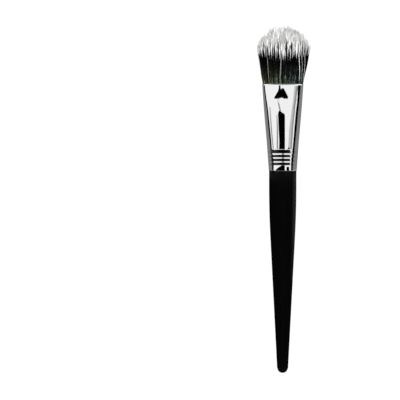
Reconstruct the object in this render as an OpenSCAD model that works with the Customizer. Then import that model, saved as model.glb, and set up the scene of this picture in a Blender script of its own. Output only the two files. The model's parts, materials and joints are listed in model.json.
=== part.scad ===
// Stippling brush: a turned handle, a crimped and flattened metal ferrule, a resin plug,
// and a two-tone tuft of short dark hair and long pale fibres.
// Millimetres. The brush lies on its broad side: +X across the tuft, +Y towards the tuft's tips, +Z up.
// The origin is on the surface, under the middle of the brush's bounding box.
// Each piece is drawn upright on the brush's own axis first, from s = 0 at the ferrule's lower edge,
// with s positive towards the tips, and is then laid down by lay_down().

/* [Handle] */
// Length of the handle that shows below the ferrule
handle_len = 105; // [80:1:130]
// How far the ferrule's lower edge stands proud of the handle's shoulder
shoulder_step = 0.15; // [0.05:0.05:0.25]
// Length of the straight land under the ferrule
land_len = 8; // [5:0.5:12]
// Length over which the land bends into the taper
swell_len = 26; // [12:1:32]
// Diameter where the rounded butt begins
butt_d = 5.9; // [4.5:0.1:8]
// Length of the rounded butt
butt_len = 4.2; // [3:0.1:6]
// Depth of the tenon inside the ferrule
tenon_len = 17; // [14:0.5:19]
// Bevel on the tenon's end
tenon_bevel = 0.5; // [0.2:0.1:0.8]

/* [Ferrule] */
// Length of the ferrule
ferrule_len = 45; // [40:0.5:52]
// Outer diameter at the lower edge
base_d = 14.5; // [13.8:0.1:16]
// Length of the round collar that holds the crimps
collar_len = 12; // [11.6:0.1:14]
// Outer diameter at the top of that collar
collar_top_d = 16.2; // [15.8:0.1:17.5]
// Width of the flattened mouth
mouth_w = 21.4; // [19:0.1:24]
// Depth of the flattened mouth
mouth_depth = 13.4; // [11:0.1:15]
// Squareness of the mouth's outline, where 2 is an ellipse
mouth_square = 2.4; // [2:0.05:3]
// Length behind the mouth that keeps the mouth's depth
flat_len = 8; // [4:0.5:12]
// How far the narrow sides bow out half way up
side_bow = 0.1; // [0:0.02:0.2]
// Wall thickness of the metal
wall = 0.4; // [0.3:0.05:0.6]

/* [Crimps] */
// Number of rolled grooves
crimp_count = 4; // [2:1:4]
// Distance between the grooves
crimp_pitch = 2.1; // [1.9:0.05:2.3]
// Height of the lowest groove above the lower edge
crimp_start = 3.5; // [2.5:0.1:4]
// Radius of the groove's round section
crimp_r = 0.9; // [0.7:0.05:1]
// Depth that the groove is rolled in
crimp_depth = 0.3; // [0.2:0.02:0.34]

/* [Tuft] */
// Length of the tallest fibres above the mouth
tuft_len = 30; // [26:0.5:36]
// Length of the fibres round the tuft's rim
rim_len = 18.5; // [17.5:0.5:22]
// Greatest width of the tuft
tuft_w = 27.2; // [24:0.1:31]
// Greatest depth of the tuft
tuft_depth = 20.2; // [19.8:0.1:24]
// Height above the mouth where the tuft is widest
flare_len = 17.5; // [15:0.5:20]
// Fullness of the dome, where 2 is an ellipse
dome_full = 2.1; // [1.9:0.1:3]
// Mean length of the dark hairs above the mouth
dark_len = 13.5; // [11:0.5:14.5]
// How far the tallest dark points rise over the lowest
dark_rise = 6; // [4:0.5:7]
// Length of the free points of the pale locks
point_len = 5; // [3:0.5:6]
// Share by which the lengths of the pale locks vary
unevenness = 0.06; // [0:0.01:0.1]
// Depth of the furrows between the locks on the tuft's sides
furrow = 0.4; // [0.2:0.05:0.6]
// Rings of locks from the middle of the tuft to its rim
lock_rings = 15; // [9:3:18]

/* [Inside] */
// Depth that the roots reach into the ferrule
root_depth = 14; // [10:0.5:17]
// Length of the resin plug behind the roots
plug_len = 8; // [5:0.5:9]
// Running clearance between a piece and the metal round it
clearance = 0.05; // [0.03:0.01:0.1]

/* [Hidden] */

// Facets of a turned surface
turned_fn = 96;
// Facets of a groove's round section
groove_fn = 48;
// Length of one step along a curved outline
outline_step = 2;
// Steps round the flattened section, six for each ring of locks
section_steps = 6 * lock_rings;
// Steps along the flattened part of the ferrule
body_steps = 10;
// Steps up the tuft's free side, below the dark points
side_steps = 3;
// Height over which the furrows deepen above the mouth
furrow_run = 5;
// Share of the flare that is taken up early on
flare_early = 0.25;
// Share by which the free points of the pale locks vary in length
point_scatter = 0.2;
// Shares of dark_rise: how far the points rise in the middle, how deep the furrows sink, and the scatter
dark_crown = 0.4;
dark_sink = 0.6;
dark_scatter = 0.25;
// Halvings in the search for the angle at which the brush lies
tilt_halvings = 24;
// The steepest lean that the search looks at, in degrees
steepest_tilt = 8;
// How far the pressed body's foot lies inside the faces of the collar that it stands on
join_step = 0.02;

mouth_s = ferrule_len;
root_s = mouth_s - root_depth;
plug_s = root_s - plug_len;

function smooth(u) = u * u * (3 - 2 * u);
function clamp01(u) = max(0, min(1, u));
function signed_power(v, p) = sign(v) * pow(abs(v), p);
function range(count) = [for (i = [0:count - 1]) i];

// Outline of the handle

base_r = base_d / 2;
land_r = base_r - shoulder_step;
butt_r = butt_d / 2;
taper_len = handle_len - land_len - swell_len - butt_len;
// Loss of radius for each millimetre of the straight taper
taper_slope = (land_r - butt_r) / (swell_len / 2 + taper_len);

// Radius at a distance below the ferrule, from the land through the swell to the end of the taper
function grip_r(d) =
    let (along = d - land_len)
    along <= 0 ? land_r
    : along < swell_len ? land_r - taper_slope * along * along / (2 * swell_len)
    : land_r - taper_slope * (along - swell_len / 2);

swell_steps = ceil(swell_len / outline_step);
butt_steps = 12;
// Points [radius, s] from the ferrule down to the butt's tip
grip_outline = concat(
    [[land_r, 0]],
    [for (i = [0:swell_steps])
        let (d = land_len + swell_len * i / swell_steps)
        [grip_r(d), -d]],
    [for (i = [0:butt_steps])
        let (a = 90 * i / butt_steps)
        [butt_r * cos(a), -(handle_len - butt_len) - butt_len * sin(a)]]
);

// Outline of the ferrule

collar_r = collar_top_d / 2;
collar_slope = (collar_r - base_r) / collar_len;

function collar_out(s) = base_r + collar_slope * s;
function collar_in(s) = collar_out(s) - wall;

// Above the collar the cone is pressed from a round tube into a flattened mouth
function body_u(s) = (s - collar_len) / (ferrule_len - collar_len);
function width_at(s) =
    let (u = body_u(s))
    collar_out(s) + smooth(u) * (mouth_w / 2 - collar_out(ferrule_len))
    + side_bow * pow(4 * u * (1 - u), 2);
// 0 where the metal is round and 1 where it is pressed fully flat
function flattening(s) = smooth(clamp01((s - collar_len) / (ferrule_len - flat_len - collar_len)));
function depth_at(s) = collar_out(s) + flattening(s) * (mouth_depth / 2 - collar_out(s));
function square_at(s) = 2 + flattening(s) * (mouth_square - 2);

body_levels = [for (i = [0:body_steps])
    collar_len + (ferrule_len - collar_len) * i / body_steps];
// The same half-widths, half-depths and squareness as the facets of the metal have
width_table = [for (s = body_levels) [s, width_at(s)]];
depth_table = [for (s = body_levels) [s, depth_at(s)]];
square_table = [for (s = body_levels) [s, square_at(s)]];

// One point of a flattened outline, at an angle in degrees
function oval(half_w, half_d, square, angle) = [
    half_w * signed_power(cos(angle), 2 / square),
    half_d * signed_power(sin(angle), 2 / square)
];

// One ring of points round the ferrule's section, set in from its outer face
function body_ring(s, inset) = [for (i = range(section_steps))
    let (p = oval(lookup(s, width_table) - inset, lookup(s, depth_table) - inset,
                  lookup(s, square_table), 360 * i / section_steps))
    [p.x, p.y, s]];

crimp_places = [for (i = range(crimp_count)) crimp_start + i * crimp_pitch];
// Distance of a groove's centre from the axis
function crimp_centre(s) = collar_out(s) + crimp_r - crimp_depth;

// The tuft: a round field of locks, as a lattice of rings with six points more in each ring

function ring_points(k) = k == 0 ? 1 : 6 * k;
function ring_start(k) = k == 0 ? 0 : 3 * k * (k - 1) + 1;
field_points = ring_start(lock_rings + 1);

corners = [[1, 0], [0, 1], [-1, 1], [-1, 0], [0, -1], [1, -1]];
// Lattice place of point m of ring k
function place(k, m) =
    k == 0 ? [0, 0]
    : let (t = floor(m / k), i = m - t * k)
      (k - i) * corners[t] + i * corners[(t + 1) % 6];
// Every third point of the lattice is the middle of a lock, with six furrow points round it
function is_point(p) = (p.x - p.y) % 3 == 0;
// A fixed number from 0 to 1 for a lattice place, which looks random
function chance(p, seed) =
    let (v = sin(p.x * 7283.1 + p.y * 17859.7 + seed * 4279.9) * 43758.5)
    v - floor(v);

inner_half_w = mouth_w / 2 - wall - clearance;
inner_half_d = mouth_depth / 2 - wall - clearance;

function flare(h) =
    let (t = clamp01(h / flare_len))
    t * (1 + flare_early * (1 - t));
function spread(h, inner, outer) = inner + (outer - inner) * flare(h);

// Half-width, half-depth and squareness of the tuft at a height above the mouth, or below it
function tuft_size(h) = h < 0
    ? [lookup(mouth_s + h, width_table) - wall - clearance,
       lookup(mouth_s + h, depth_table) - wall - clearance,
       lookup(mouth_s + h, square_table)]
    : [spread(h, inner_half_w, tuft_w / 2), spread(h, inner_half_d, tuft_depth / 2), mouth_square];

// A point of the tuft: ring share 0 to 1, angle, height above the mouth, and whether a furrow is there
function tuft_point(share, angle, h, sunk) =
    let (
        size = tuft_size(h),
        inset = sunk ? furrow * clamp01(h / furrow_run) : 0,
        p = share * oval(size[0] - inset, size[1] - inset, size[2], angle)
    )
    [p.x, p.y, mouth_s + h];

// Length of the pale fibres at a share of the way out to the rim
function dome(share) = rim_len + (tuft_len - rim_len) * pow(1 - pow(share, dome_full), 1 / dome_full);

function pale_height(share, p) =
    is_point(p)
    ? dome(share) * (share > 0 ? 1 - unevenness * chance(p, 1) : 1)
    : dome(share) * (1 - unevenness) - point_len * (1 - point_scatter * chance(p, 2));
function dark_height(share, p) =
    is_point(p)
    ? dark_len + dark_rise * (dark_crown * (1 - share) + dark_scatter * chance(p, 3))
    : dark_len - dark_rise * (dark_sink - dark_scatter * chance(p, 4));

// All points of the field's upper surface, dark or pale, ring after ring
function field(pale) = [for (k = [0:lock_rings]) for (m = range(ring_points(k)))
    let (p = place(k, m), share = k / lock_rings, h = pale ? pale_height(share, p) : dark_height(share, p))
    tuft_point(share, 360 * m / ring_points(k), h, !is_point(p))];

dark_top = field(false);
pale_top = field(true);

// Triangles over a field whose first point has index start, facing up
function field_faces(start) = [for (k = [1:lock_rings]) for (t = [0:5]) for (i = [0:k - 1])
    let (
        outer = start + ring_start(k),
        inner = start + ring_start(k - 1),
        count = ring_points(k - 1),
        o0 = outer + t * k + i,
        o1 = outer + (t * k + i + 1) % ring_points(k),
        n0 = inner + (t * (k - 1) + i) % count,
        n1 = inner + (t * (k - 1) + i + 1) % count
    )
    each i < k - 1 ? [[o1, o0, n0], [o1, n0, n1]] : [[o1, o0, n0]]];

function turned_over(faces) = [for (f = faces) [f[0], f[2], f[1]]];

// Triangles of a band between two rings of points, facing out when the second ring is higher
function band(low, high, count) = [for (i = range(count))
    let (j = (i + 1) % count)
    each [[low + i, high + i, high + j], [low + i, high + j, low + j]]];

// How the brush lies: it rolls back until the tuft's side and the handle's swell touch the surface

// Points [s, distance below the axis] that can meet the surface; a piece's own +Y faces down
tuft_side = [for (p = concat(dark_top, pale_top)) [p[2], p[1]]];
grip_side = [for (p = grip_outline) [p[1], p[0]]];
metal_side = concat([[0, base_r]], depth_table);

// Lowest point of an outline when the axis leans up by an angle towards the tips
function lowest(side, tilt) = min([for (p = side) p[0] * sin(tilt) - p[1] * cos(tilt)]);
// The tilt at which the tuft and the handle touch at once, by halving the range
function resting_tilt(low, high, left) =
    let (middle = (low + high) / 2)
    left == 0 ? middle
    : lowest(tuft_side, middle) < lowest(grip_side, middle)
      ? resting_tilt(middle, high, left - 1)
      : resting_tilt(low, middle, left - 1);
tilt = resting_tilt(-steepest_tilt, steepest_tilt, tilt_halvings);

tips_reach = max([for (p = pale_top) p[2] * cos(tilt) + p[1] * sin(tilt)]);
butt_reach = -handle_len * cos(tilt);
rest_height = -lowest(concat(tuft_side, grip_side, metal_side), tilt);

module lay_down() {
    translate([0, -(tips_reach + butt_reach) / 2, rest_height])
        rotate([tilt - 90, 0, 0]) children();
}

// A closed solid through rings of points, each ring anticlockwise seen from the tips
module skin(rings) {
    count = len(rings[0]);
    top = (len(rings) - 1) * count;
    polyhedron(
        points = [for (ring = rings) each ring],
        faces = concat(
            [range(count)],
            [for (j = [0:len(rings) - 2]) each band(j * count, (j + 1) * count, count)],
            [[for (i = range(count)) top + count - 1 - i]]
        ),
        convexity = 4
    );
}

// A tube through pairs of outer and inner rings
module tube_skin(outer, inner) {
    count = len(outer[0]);
    levels = len(outer);
    inside = levels * count;
    top = (levels - 1) * count;
    polyhedron(
        points = concat([for (ring = outer) each ring], [for (ring = inner) each ring]),
        faces = concat(
            [for (j = [0:levels - 2]) each band(j * count, (j + 1) * count, count)],
            [for (j = [0:levels - 2])
                each turned_over(band(inside + j * count, inside + (j + 1) * count, count))],
            band(top, inside + top, count),
            turned_over(band(0, inside, count))
        ),
        convexity = 6
    );
}

// Round sections of the crimps, swollen by a margin
module crimp_rounds(margin) {
    for (s = crimp_places)
        translate([crimp_centre(s), s]) circle(r = crimp_r + margin, $fn = groove_fn);
}

// The round collar: a conical tube whose metal is rolled in along each crimp
module collar_outline() {
    difference() {
        intersection() {
            polygon([[0, 0], [base_r, 0], [collar_r, collar_len], [0, collar_len]]);
            union() {
                polygon([
                    [collar_in(0), 0], [base_r, 0],
                    [collar_r, collar_len], [collar_in(collar_len), collar_len]
                ]);
                crimp_rounds(wall);
            }
        }
        crimp_rounds(0);
    }
}

// The tenon follows the collar's cone and is straight above it, and the metal's crimps bite into it
tenon_r = collar_in(collar_len) - clearance;
tenon_outline = [
    [0, tenon_len], [tenon_r - tenon_bevel, tenon_len], [tenon_r, tenon_len - tenon_bevel],
    [tenon_r, collar_len], [collar_in(0) - clearance, 0]
];

module handle() {
    color([0.03, 0.03, 0.03]) lay_down()
        rotate_extrude($fn = turned_fn) difference() {
            polygon(concat(tenon_outline, grip_outline));
            crimp_rounds(wall + clearance);
        }
}

module ferrule() {
    // The pressed body's foot is a hair thinner than the collar, so that the two join cleanly
    insets = [for (s = body_levels) s > collar_len ? 0 : join_step];
    color([0.8, 0.8, 0.82]) lay_down() {
        rotate_extrude($fn = turned_fn) collar_outline();
        tube_skin(
            [for (i = [0:body_steps]) body_ring(body_levels[i], insets[i])],
            [for (i = [0:body_steps]) body_ring(body_levels[i], wall - insets[i])]
        );
    }
}

module resin_plug() {
    color([0.75, 0.66, 0.42]) lay_down()
        skin([for (s = [plug_s, (plug_s + root_s) / 2, root_s]) body_ring(s, wall + clearance)]);
}

// Rings up the tuft's side from the roots to just under the dark points
side_heights = concat(
    [for (s = body_levels) if (s > root_s) s - mouth_s],
    [for (i = [1:side_steps]) (dark_len - dark_rise) * i / side_steps]
);

function side_ring(h) = [for (m = range(section_steps))
    tuft_point(1, 360 * m / section_steps, h, !is_point(place(lock_rings, m)))];

module dark_hair() {
    rings = [for (h = concat([-root_depth], side_heights)) side_ring(h)];
    sides = len(rings) * section_steps;
    rim = sides + ring_start(lock_rings);
    color([0.06, 0.06, 0.05]) lay_down() polyhedron(
        points = concat([for (ring = rings) each ring], dark_top),
        faces = concat(
            [range(section_steps)],
            [for (j = [0:len(rings) - 2])
                each band(j * section_steps, (j + 1) * section_steps, section_steps)],
            band(sides - section_steps, rim, section_steps),
            field_faces(sides)
        ),
        convexity = 10
    );
}

module pale_fibres() {
    rim = ring_start(lock_rings);
    color([0.9, 0.89, 0.85]) lay_down() polyhedron(
        points = concat(dark_top, pale_top),
        faces = concat(
            turned_over(field_faces(0)),
            band(rim, field_points + rim, section_steps),
            field_faces(field_points)
        ),
        convexity = 10
    );
}

handle();
ferrule();
resin_plug();
dark_hair();
pale_fibres();
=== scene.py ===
# %% [markdown]
# # A stippling brush, dressed for its portrait
# A stippling brush is a face brush whose tuft has two kinds of hair: short black hair, and long
# pale fibres that stand out above it. This lesson starts from the measured model of the brush
# and gives it its looks: lacquer, chrome, and some twenty-five thousand separate hairs.
# Everything is in metres and in the measured model's own place, so nothing has to be fitted.

# %% Load the measured model
import json
import math

import bpy
import numpy as np
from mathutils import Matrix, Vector


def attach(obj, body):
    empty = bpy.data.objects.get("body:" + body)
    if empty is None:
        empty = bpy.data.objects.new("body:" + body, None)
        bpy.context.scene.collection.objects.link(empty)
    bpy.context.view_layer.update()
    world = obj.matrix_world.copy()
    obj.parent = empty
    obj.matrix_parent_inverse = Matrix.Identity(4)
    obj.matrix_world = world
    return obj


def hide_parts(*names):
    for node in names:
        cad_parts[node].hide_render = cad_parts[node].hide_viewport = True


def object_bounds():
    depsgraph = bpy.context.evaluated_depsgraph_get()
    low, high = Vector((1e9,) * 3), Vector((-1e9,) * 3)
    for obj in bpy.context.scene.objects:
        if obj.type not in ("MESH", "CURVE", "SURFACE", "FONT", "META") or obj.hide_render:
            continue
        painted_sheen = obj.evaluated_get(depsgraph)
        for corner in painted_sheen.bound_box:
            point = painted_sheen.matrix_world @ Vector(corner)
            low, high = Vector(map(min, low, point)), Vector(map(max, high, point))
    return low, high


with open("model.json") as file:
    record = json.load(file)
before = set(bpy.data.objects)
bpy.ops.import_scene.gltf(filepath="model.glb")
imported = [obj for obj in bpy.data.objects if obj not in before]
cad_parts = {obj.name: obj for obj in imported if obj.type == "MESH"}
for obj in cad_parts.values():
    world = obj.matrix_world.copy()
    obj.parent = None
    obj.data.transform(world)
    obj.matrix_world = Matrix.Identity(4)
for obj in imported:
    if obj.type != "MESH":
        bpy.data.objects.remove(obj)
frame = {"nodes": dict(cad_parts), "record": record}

MM = 0.001
measured_box = [list(corner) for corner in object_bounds()]
print("measured size, mm:", [round((high - low) / MM, 2) for low, high in zip(*measured_box)])

# %% [markdown]
# The brush lies on its side, tipped up by two degrees, because the tuft is deeper than the handle.
# It is far easier to think along the brush than along the table. So the brush gets its own three
# directions, which come from the straight land under the ferrule: across, along and upward.
# A place on the brush is then (x, s, up) in millimetres, with s counted from the ferrule's foot.

# %% The brush's own directions
land = next(mount for mount in frame["record"]["mounts"] if mount["name"] == "grip_land")
along = -Vector(land["axis"]).normalized()
across = Vector((1, 0, 0))
upward = across.cross(along)
land_r = land["dims"]["r_mm"]
land_len = land["dims"]["length_mm"]
ferrule_foot = Vector(land["pos_m"]) + along * (land_len / 2 * MM)
directions = np.array([across, along, upward])


def place(points):
    """Table places, in metres, of brush places (x, s, up) in millimetres."""
    return np.array(ferrule_foot) + np.asarray(points, float) * MM @ directions


print("the brush is tipped up by", round(math.degrees(math.asin(along.z)), 2), "degrees")

# %% [markdown]
# Every piece here is a skin: a stack of rings with the same number of points. One helper turns
# such a stack into a mesh. The ends are closed with a fan, or the last ring joins the first,
# which is how a thin metal tube with an inside and an outside is made in one go.
# Corners sharper than a set angle are kept sharp, and all the rest is shaded smooth.

# %% Helper: a mesh from arrays
def mesh_piece(name, points, faces):
    """An object from an array of places in metres and arrays of faces, one for each face size."""
    mesh = bpy.data.meshes.new(name)
    mesh.vertices.add(len(points))
    mesh.vertices.foreach_set("co", np.asarray(points, np.float32).ravel())
    corners = np.concatenate([block.ravel() for block in faces])
    sizes = np.concatenate([np.full(len(block), block.shape[1]) for block in faces])
    mesh.loops.add(len(corners))
    mesh.loops.foreach_set("vertex_index", corners.astype(np.int32))
    mesh.polygons.add(len(sizes))
    starts = np.concatenate([[0], np.cumsum(sizes)[:-1]])
    mesh.polygons.foreach_set("loop_start", starts.astype(np.int32))
    mesh.update(calc_edges=True)
    mesh.shade_smooth()
    piece = bpy.data.objects.new(name, mesh)
    bpy.context.scene.collection.objects.link(piece)
    return piece


def number_points(piece, name, values):
    """Gives each point of the mesh a number, which a finish can read by this name."""
    layer = piece.data.attributes.new(name, "FLOAT", "POINT")
    layer.data.foreach_set("value", np.asarray(values, np.float32).ravel())


def triangles(piece):
    """How many triangles the piece has."""
    return sum(len(face.vertices) - 2 for face in piece.data.polygons)


# %% Helper: a skin over rings
CREASE = math.radians(38)


def skin(name, rings, looped=False):
    """A closed surface over rings (ring, point, xyz) that run counter-clockwise seen from the last."""
    count, round_points = rings.shape[:2]
    points = rings.reshape(-1, 3)
    ring = np.arange(count if looped else count - 1)[:, None] * round_points
    side = np.arange(round_points)[None, :]
    following = (side + 1) % round_points
    above = (ring + round_points) % (count * round_points)
    quads = np.stack([ring + side, ring + following, above + following, above + side], 2)
    faces = [quads.reshape(-1, 4)]
    if not looped:
        ends = [points[:round_points].mean(0), points[-round_points:].mean(0)]
        first, last = len(points), len(points) + 1
        top = (count - 1) * round_points
        side, following = side[0], following[0]
        faces.append(np.stack([following, side, np.full(round_points, first)], 1))
        faces.append(np.stack([top + side, top + following, np.full(round_points, last)], 1))
        points = np.concatenate([points, ends])
    piece = mesh_piece(name, points, faces)
    piece.data.set_sharp_from_angle(angle=CREASE)
    return piece


def smooth(u):
    """An even step from 0 to 1, level at both ends."""
    u = np.clip(u, 0, 1)
    return u * u * (3 - 2 * u)


# %% [markdown]
# Materials are node trees, and node trees are hard to read in code. So each socket is wrapped in
# a small class, and Python's own + - * and ** then add the Math nodes. One method makes any other
# node: it sets the node's settings first and then the values or links of its sockets.

# %% Helper: shader maths as Python expressions
class Value:
    """One output of a node, on which arithmetic adds Math nodes."""

    def __init__(self, finish, socket):
        self.finish = finish
        self.socket = socket

    def maths(self, operation, *inputs):
        """A Math node with these inputs."""
        settings = {"operation": operation}
        return self.finish.node("ShaderNodeMath", settings, dict(enumerate(inputs)), 0)

    def __add__(self, other):
        return self.maths("ADD", self, other)

    def __sub__(self, other):
        return self.maths("SUBTRACT", self, other)

    def __rsub__(self, other):
        return self.maths("SUBTRACT", other, self)

    def __mul__(self, other):
        return self.maths("MULTIPLY", self, other)

    def __pow__(self, other):
        return self.maths("POWER", self, other)

    def __rpow__(self, other):
        return self.maths("POWER", other, self)

    __radd__ = __add__
    __rmul__ = __mul__


# %% Helper: a finish
class Finish:
    """A material whose nodes are made by one method."""

    def __init__(self, name):
        self.material = bpy.data.materials.new(name)
        self.material.use_nodes = True
        self.nodes = self.material.node_tree.nodes
        self.links = self.material.node_tree.links
        self.shader = self.nodes["Principled BSDF"]

    def plug(self, socket, value):
        """Links the socket where the value comes from a node, and sets it otherwise."""
        if isinstance(value, Value):
            self.links.new(value.socket, socket)
        elif isinstance(value, (tuple, list)) and socket.type == "RGBA":
            socket.default_value = (*value, 1)
        else:
            socket.default_value = value

    def node(self, kind, settings, sockets, output):
        """Any node: its settings come first, then the values or links of its sockets."""
        made = self.nodes.new(kind)
        for name, setting in settings.items():
            setattr(made, name, setting)
        for name, value in sockets.items():
            self.plug(made.inputs[name], value)
        return Value(self, made.outputs[output])

    def blend(self, share, first, second):
        """One colour turning into another."""
        settings = {"data_type": "RGBA"}
        return self.node("ShaderNodeMix", settings, {0: share, 6: first, 7: second}, 2)

    def number(self, name):
        """The numbers that the mesh carries under this name."""
        return self.node("ShaderNodeAttribute", {"attribute_name": name}, {}, "Fac")

    def where(self):
        """Places on the piece."""
        return self.node("ShaderNodeTexCoord", {}, {}, "Object")

    def stretched(self, scale):
        """Places on the piece, stretched to turn round grains into long ones."""
        sockets = {"Vector": self.where(), "Scale": scale}
        return self.node("ShaderNodeMapping", {"vector_type": "POINT"}, sockets, 0)

    def noise(self, scale, detail=3.0, at=None):
        """Soft clouds from 0 to 1, with so many to the metre."""
        sockets = {"Vector": at or self.where(), "Scale": scale, "Detail": detail}
        return self.node("ShaderNodeTexNoise", {}, sockets, 0)

    def bump(self, height, depth):
        """Small dents and rises that only the light feels, so deep in metres."""
        return self.node("ShaderNodeBump", {}, {"Height": height, "Distance": depth}, 0)

    def surface(self, **sockets):
        """Sets the shader's sockets and gives the finished material."""
        for name, value in sockets.items():
            self.plug(self.shader.inputs[name.replace("_", " ")], value)
        return self.material


# %% Helper: dress a piece
def dress(piece, material, slot, *nodes):
    """The piece gets its material, moves with the brush and stands for the measured nodes."""
    piece.data.materials.append(material)
    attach(piece, "root")
    if nodes:
        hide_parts(*nodes)
    print(piece.name, triangles(piece), "triangles")


# %% [markdown]
# The ferrule is a drawn metal tube. It is round where it grips the handle and pressed flat at the
# mouth, so its section changes from a circle to an oval that is a little square. Each section
# is worked out from its height, with the same formulas as the measured model. Only the crimps,
# in the next step, are finer here.

# %% The ferrule's sizes, in millimetres
FERRULE_LEN, COLLAR_LEN, FLAT_LEN = 45, 12, 8
BASE_R, COLLAR_R = 7.25, 8.1
MOUTH_HALF_W, MOUTH_HALF_D, MOUTH_SQUARE = 10.7, 6.7, 2.4
SIDE_BOW, WALL, CLEARANCE = 0.1, 0.4, 0.05
CRIMP_START, CRIMP_PITCH, CRIMP_COUNT = 3.75, 2.05, 4
TENON_LEN, TENON_BEVEL = 17, 0.5


def collar_out(s):
    return BASE_R + (COLLAR_R - BASE_R) / COLLAR_LEN * s


def flattening(s):
    return smooth((s - COLLAR_LEN) / (FERRULE_LEN - FLAT_LEN - COLLAR_LEN))


def ferrule_half_w(s):
    u = np.clip((s - COLLAR_LEN) / (FERRULE_LEN - COLLAR_LEN), 0, 1)
    widening = MOUTH_HALF_W - collar_out(FERRULE_LEN)
    return collar_out(s) + smooth(u) * widening + SIDE_BOW * (4 * u * (1 - u)) ** 2


def ferrule_half_d(s):
    return collar_out(s) + flattening(s) * (MOUTH_HALF_D - collar_out(s))


def ferrule_square(s):
    return 2 + flattening(s) * (MOUTH_SQUARE - 2)


def oval(half_w, half_d, square, angle):
    """Points (x, up) of an oval that is a circle at square 2 and nears a box above it."""
    cos, sin = np.cos(angle), np.sin(angle)
    x = half_w * np.sign(cos) * np.abs(cos) ** (2 / square)
    up = half_d * np.sign(sin) * np.abs(sin) ** (2 / square)
    return x, up


print("the ferrule's mouth is", 2 * MOUTH_HALF_W, "mm wide and", 2 * MOUTH_HALF_D, "mm deep")

# %% [markdown]
# Crimps hold the ferrule on the handle's tenon. Two toothed jaws press them in, one from each broad
# side, so the flanks stay smooth, and each groove looks like a short row of beads. The jaws
# are bevelled: a groove drops steeply on the handle's side and comes out on a long slope.
# The grooves are painted dark, a painted shade, which spills a little below each one.
# The last crimp is pressed twice, so its groove is double.

# %% The crimps
TEETH, TOOTH_BITE, TOOTH_TURN = 16, 0.25, math.radians(1)
JAW_MIDDLE, JAW_REACH, JAW_END = math.radians(12), math.radians(36), math.radians(6)
LEFT_OVER = 0.08
CRIMP_HALF, CRIMP_STEEP, CRIMP_SLOPE, SHOULDER, SHADE_SPILL = 0.62, 0.10, 0.34, 0.06, 0.22
crimp_middles = CRIMP_START + CRIMP_PITCH * np.arange(CRIMP_COUNT)
crimp_middles = np.append(crimp_middles, crimp_middles[-1] + CRIMP_HALF)
crimp_depth = CRIMP_SLOPE * (2 * CRIMP_HALF - CRIMP_STEEP)


def crimp_cut(s):
    """How deep the crimps go in at s."""
    off = np.asarray(s, float)[..., None] - crimp_middles
    steep = (off + CRIMP_HALF) * crimp_depth / CRIMP_STEEP
    long_slope = CRIMP_SLOPE * (CRIMP_HALF - off)
    shoulder = CRIMP_SLOPE * np.clip(CRIMP_HALF + SHOULDER - off, 0, None) ** 2 / (4 * SHOULDER)
    rise = np.where(off < CRIMP_HALF - SHOULDER, long_slope, shoulder)
    return np.clip(np.minimum(steep, rise), 0, None).max(-1)


def jaw_press(angle):
    """How much of the full depth the jaws press at an angle: less between two teeth."""
    toothed = 1 - TOOTH_BITE * (0.5 - 0.5 * np.cos(TEETH * (angle - math.pi / 2 - TOOTH_TURN)))
    off = np.abs((angle - math.pi / 2 - JAW_MIDDLE + math.pi / 2) % math.pi - math.pi / 2)
    return toothed * (1 - (1 - LEFT_OVER) * smooth((off - JAW_REACH) / JAW_END))


crimp_end = float(crimp_middles[-1]) + CRIMP_HALF + SHOULDER
print("the crimps end at", round(crimp_end, 2), "mm and are", round(crimp_depth, 2), "mm deep")

# %% [markdown]
# The tube is one looped skin: up the outside, over a rounded rim, down the inside and back.
# Rings stand at each corner of a crimp's profile, and further apart above, where the tube is
# smooth. A mirror shows the smallest fault in a surface, so each ring has many points.
# Every point also gets a number, which says how dark the painted shade of the grooves is there.

# %% The ferrule's mesh
FERRULE_SIDES = 192
FOOT_RINGS = [0.22, 0.28, 0.8, 1.4, 2.0, 2.6]
SMOOTH_RINGS, RIM_STEPS, FOOT_STEPS = 56, 9, 7
ABOVE_CRIMPS, ON_SLOPE = 0.3, 0.3
GROOVE_SHADE_GAIN, GROOVE_SHADE_START = 8, 0.3
angles = np.linspace(0, 2 * math.pi, FERRULE_SIDES, endpoint=False)


def ferrule_ring(s, inset, cut):
    """A section at s, moved in by an inset, with a cut that the jaws shape."""
    in_from_outside = inset + cut * jaw_press(-angles)
    half_w = ferrule_half_w(s) - in_from_outside
    half_d = ferrule_half_d(s) - in_from_outside
    x, up = oval(half_w, half_d, ferrule_square(s), -angles)
    return np.stack([x, np.full_like(x, s), up], 1)


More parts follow.
